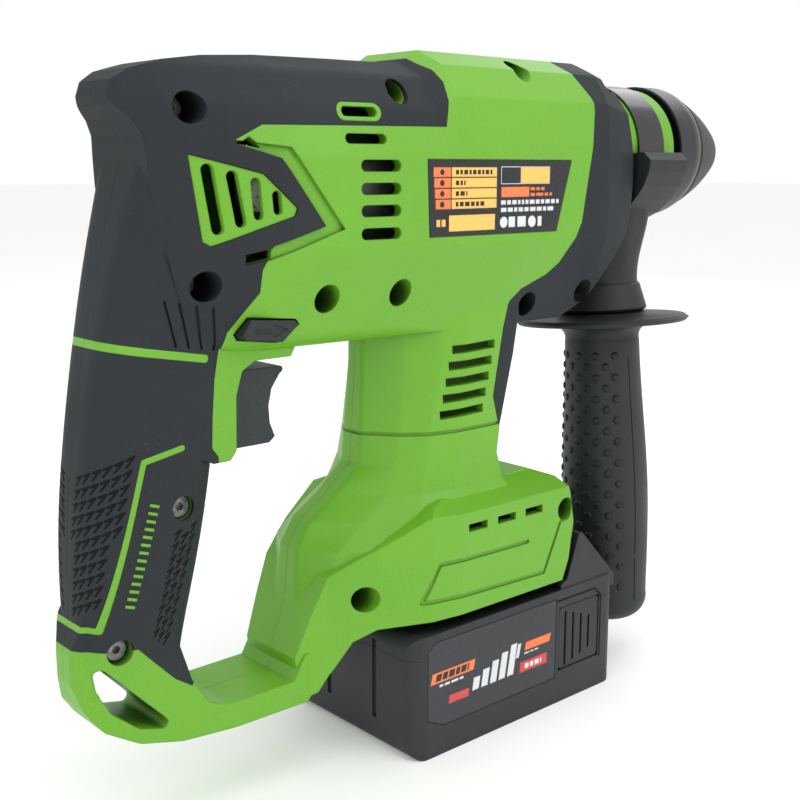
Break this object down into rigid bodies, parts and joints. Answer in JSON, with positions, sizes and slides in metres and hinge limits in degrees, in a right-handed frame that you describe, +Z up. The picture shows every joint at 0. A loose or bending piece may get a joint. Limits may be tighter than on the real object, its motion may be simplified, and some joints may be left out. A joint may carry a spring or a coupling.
{
  "type": "cordless rotary hammer",
  "caption": "Cordless rotary hammer drill with closed grip loop, quick-change chuck, side handle and slide-on battery; trigger, switches, drive train and handles move.",
  "frame": {"origin": "on the spindle axis at the front face of the tool holder", "axes": "+X along the spindle out of the tool holder, +Z up, Y = 0 is the parting plane of the housing"},
  "size_m": [0.3345, 0.0904, 0.262],
  "materials": {
    "green_plastic": "fine spark texture",
    "soft_grip": "soft matt overmould",
    "screw_steel": "zinc plated",
    "label_film": "printed film",
    "case_aluminium": "die cast",
    "bearing_steel": "ground steel",
    "black_rubber": "matt",
    "motor_steel": "laminated, varnished",
    "dark_plastic": "fine spark texture",
    "chuck_black": "satin black",
    "signal_red": "moulded",
    "board_green": "potted board",
    "cell_wrap": "shrink film",
    "contact_brass": "bare"
  },
  "bodies": {
    "housing": {"housing_left": "green_plastic", "housing_right": "green_plastic", "grip_overmould_left": "soft_grip", "grip_overmould_right": "soft_grip", "front_overmould_left": "soft_grip", "front_overmould_right": "soft_grip", "vent_grille_left": "green_plastic", "vent_grille_right": "green_plastic", "housing_screws": "screw_steel", "rating_label": "label_film", "gear_case": "case_aluminium", "nose_collar": "green_plastic", "spindle_bearing": "bearing_steel", "dust_seal": "black_rubber", "motor_stator": "motor_steel", "rotor_bearing_front": "bearing_steel", "rotor_bearing_rear": "bearing_steel", "motor_cradle": "dark_plastic", "shaft_bearing_front": "bearing_steel", "shaft_bearing_rear": "bearing_steel", "switch_module": "dark_plastic", "controller_board": "board_green", "terminal_block": "dark_plastic"},
    "spindle": {"spindle": "bearing_steel", "spindle_gear": "bearing_steel", "locking_balls": "screw_steel", "dust_cap": "black_rubber", "retaining_ring": "screw_steel"},
    "chuck_sleeve": {"chuck_sleeve": "chuck_black"},
    "piston": {"piston": "bearing_steel"},
    "striker": {"striker": "bearing_steel"},
    "beat_piece": {"beat_piece": "bearing_steel"},
    "intermediate": {"intermediate_shaft": "bearing_steel", "drive_gear": "bearing_steel", "wobble_hub": "bearing_steel"},
    "wobble_ring": {"wobble_ring": "bearing_steel"},
    "rotor": {"rotor_shaft": "bearing_steel", "rotor_core": "motor_steel", "cooling_fan": "dark_plastic"},
    "side_clamp": {"clamp_body": "dark_plastic", "clamp_band": "chuck_black", "clamp_bolt": "screw_steel"},
    "side_grip": {"side_grip": "dark_plastic", "side_grip_nut": "screw_steel"},
    "trigger": {"trigger": "dark_plastic"},
    "direction_button": {"direction_button": "dark_plastic"},
    "mode_knob": {"mode_knob": "dark_plastic", "mode_knob_lock": "signal_red"},
    "battery": {"battery_lower_case": "dark_plastic", "battery_upper_case": "dark_plastic", "battery_cells": "cell_wrap", "cell_links": "screw_steel", "battery_board": "board_green", "battery_contacts": "contact_brass", "battery_panel_left": "label_film", "battery_panel_right": "label_film"},
    "battery_release_left": {"battery_release_left": "dark_plastic"},
    "battery_release_right": {"battery_release_right": "dark_plastic"}
  },
  "joints": [
    {"name": "spindle_spin", "type": "hinge", "parent": "housing", "child": "spindle", "pos_m": [-0.042, 0, 0], "axis": [1, 0, 0], "continuous": true},
    {"name": "chuck_sleeve_pull", "type": "slide", "parent": "spindle", "child": "chuck_sleeve", "axis": [-1, 0, 0], "range_m": [0, 0.006], "stiffness_N_per_m": 1500, "springref_m": -0.004},
    {"name": "piston_stroke", "type": "slide", "parent": "housing", "child": "piston", "axis": [1, 0, 0], "range_m": [-0.0073, 0.0073]},
    {"name": "striker_flight", "type": "slide", "parent": "spindle", "child": "striker", "axis": [1, 0, 0], "range_m": [-0.003, 0.003]},
    {"name": "beat_piece_travel", "type": "slide", "parent": "spindle", "child": "beat_piece", "axis": [1, 0, 0], "range_m": [-0.003, 0]},
    {"name": "intermediate_spin", "type": "hinge", "parent": "housing", "child": "intermediate", "pos_m": [-0.142, 0, -0.03], "axis": [1, 0, 0], "continuous": true},
    {"name": "wobble_swing", "type": "hinge", "parent": "housing", "child": "wobble_ring", "pos_m": [-0.158, 0, -0.03], "axis": [0, 1, 0], "range_deg": [-14, 14]},
    {"name": "rotor_spin", "type": "hinge", "parent": "housing", "child": "rotor", "pos_m": [-0.222, 0, -0.014], "axis": [1, 0, 0], "continuous": true},
    {"name": "side_handle_swivel", "type": "hinge", "parent": "housing", "child": "side_clamp", "pos_m": [-0.072, 0, 0], "axis": [1, 0, 0], "continuous": true},
    {"name": "side_grip_turn", "type": "hinge", "parent": "side_clamp", "child": "side_grip", "pos_m": [-0.072, 0, 0], "axis": [0, -0.0698, -0.9976], "continuous": true},
    {"name": "trigger_pull", "type": "slide", "parent": "housing", "child": "trigger", "axis": [-1, 0, 0], "range_m": [0, 0.006], "stiffness_N_per_m": 900, "springref_m": -0.003},
    {"name": "direction_select", "type": "slide", "parent": "housing", "child": "direction_button", "axis": [0, 1, 0], "range_m": [-0.002, 0.002]},
    {"name": "mode_turn", "type": "hinge", "parent": "housing", "child": "mode_knob", "pos_m": [-0.142, 0.036, -0.022], "axis": [0, 1, 0], "range_deg": [-90, 90]},
    {"name": "battery_slide", "type": "slide", "parent": "housing", "child": "battery", "axis": [1, 0, 0], "range_m": [0, 0.005]},
    {"name": "battery_release_left_press", "type": "slide", "parent": "battery", "child": "battery_release_left", "axis": [0, -1, 0], "range_m": [0, 0.0013], "stiffness_N_per_m": 1500, "springref_m": -0.001},
    {"name": "battery_release_right_press", "type": "slide", "parent": "battery", "child": "battery_release_right", "axis": [0, 1, 0], "range_m": [0, 0.0013], "stiffness_N_per_m": 1500, "springref_m": -0.001}
  ],
  "couplings": [
    {"joint": "intermediate_spin", "follows": "spindle_spin", "ratio": -3},
    {"joint": "rotor_spin", "follows": "spindle_spin", "ratio": 12},
    {"joint": "wobble_swing", "follows": "piston_stroke", "rad_per_m": 33.333}
  ]
}
